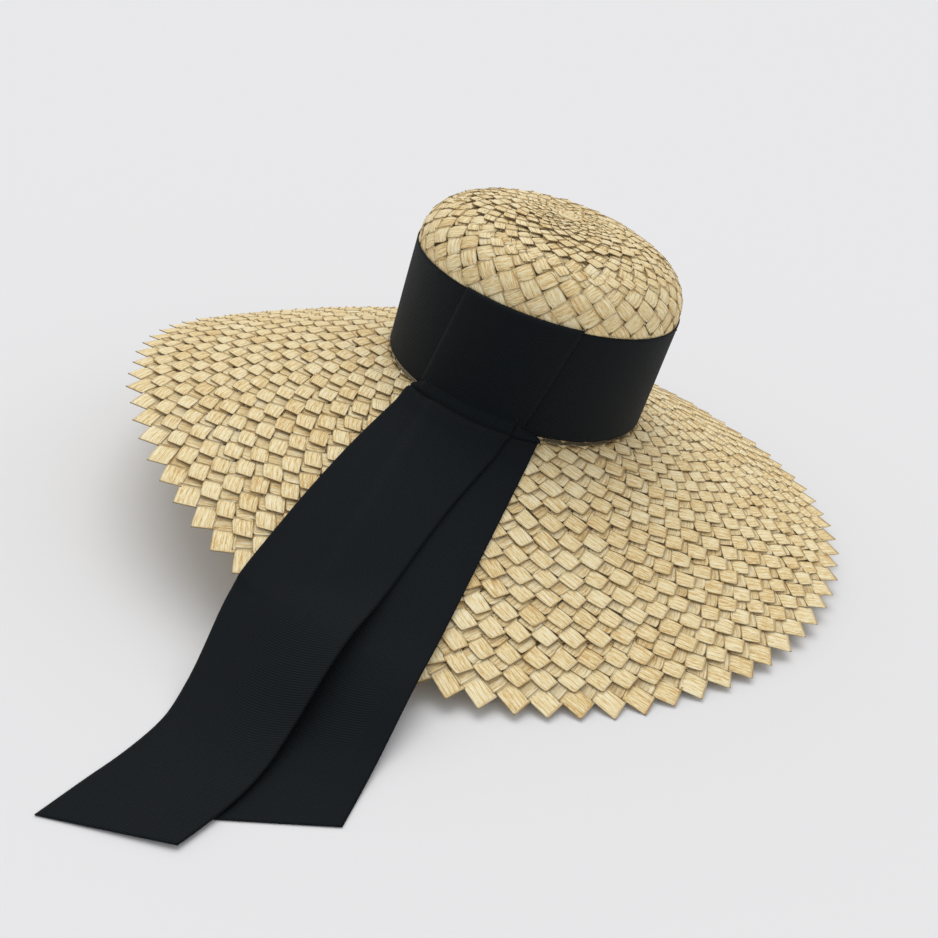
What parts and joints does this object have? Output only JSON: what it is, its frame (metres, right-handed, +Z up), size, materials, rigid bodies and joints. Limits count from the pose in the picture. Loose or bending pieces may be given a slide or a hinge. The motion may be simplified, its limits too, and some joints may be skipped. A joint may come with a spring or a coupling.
{
  "type": "straw sun hat",
  "caption": "Wide-brimmed sewn straw sun hat with a pointed brim edge, a broad dark ribbon band and two long ribbon tails that lift off the brim.",
  "frame": {"origin": "centre of the head opening, on the plane where the crown meets the brim", "axes": "+Z up along the crown's axis; +X towards the wearer's front, along the oval's long axis; the ribbon tails run out over the brim along -Y"},
  "size_m": [0.548, 0.7055, 0.2424],
  "materials": {
    "straw": "pale natural raffia plait, matt with a dry sheen",
    "ribbon": "near-black grosgrain ribbon, matt, fine crosswise ribs",
    "sweatband": "cream cotton sweatband tape",
    "straw_thread": "straw-coloured sewing thread",
    "dark_thread": "black sewing thread"
  },
  "bodies": {
    "hat": {"crown_tip": "straw", "tip_button": "straw", "crown_wall": "straw", "brim": "straw", "edge_points": "straw", "hat_band": "ribbon", "band_front_wrap": "ribbon", "tail_root_lower": "ribbon", "tail_root_upper": "ribbon", "sweatband": "sweatband", "sweatband_join": "sweatband", "sweatband_stitches": "straw_thread", "band_tacks": "dark_thread", "wrap_tacks": "dark_thread", "brim_thread": "straw_thread", "crown_thread": "straw_thread"},
    "lower_ribbon_tail": {"tail_lower": "ribbon"},
    "upper_ribbon_tail": {"tail_upper": "ribbon"}
  },
  "joints": [
    {"name": "upper_tail_lift", "type": "hinge", "parent": "hat", "child": "upper_ribbon_tail", "pos_m": [0, -0.101, 0.001], "axis": [-1, 0, 0], "range_deg": [0, 80]},
    {"name": "lower_tail_lift", "type": "hinge", "parent": "hat", "child": "lower_ribbon_tail", "pos_m": [0, -0.101, 0.001], "axis": [-1, 0, 0], "range_deg": [0, 48]}
  ],
  "couplings": [
    {"joint": "lower_tail_lift", "follows": "upper_tail_lift", "ratio": 0.6}
  ]
}
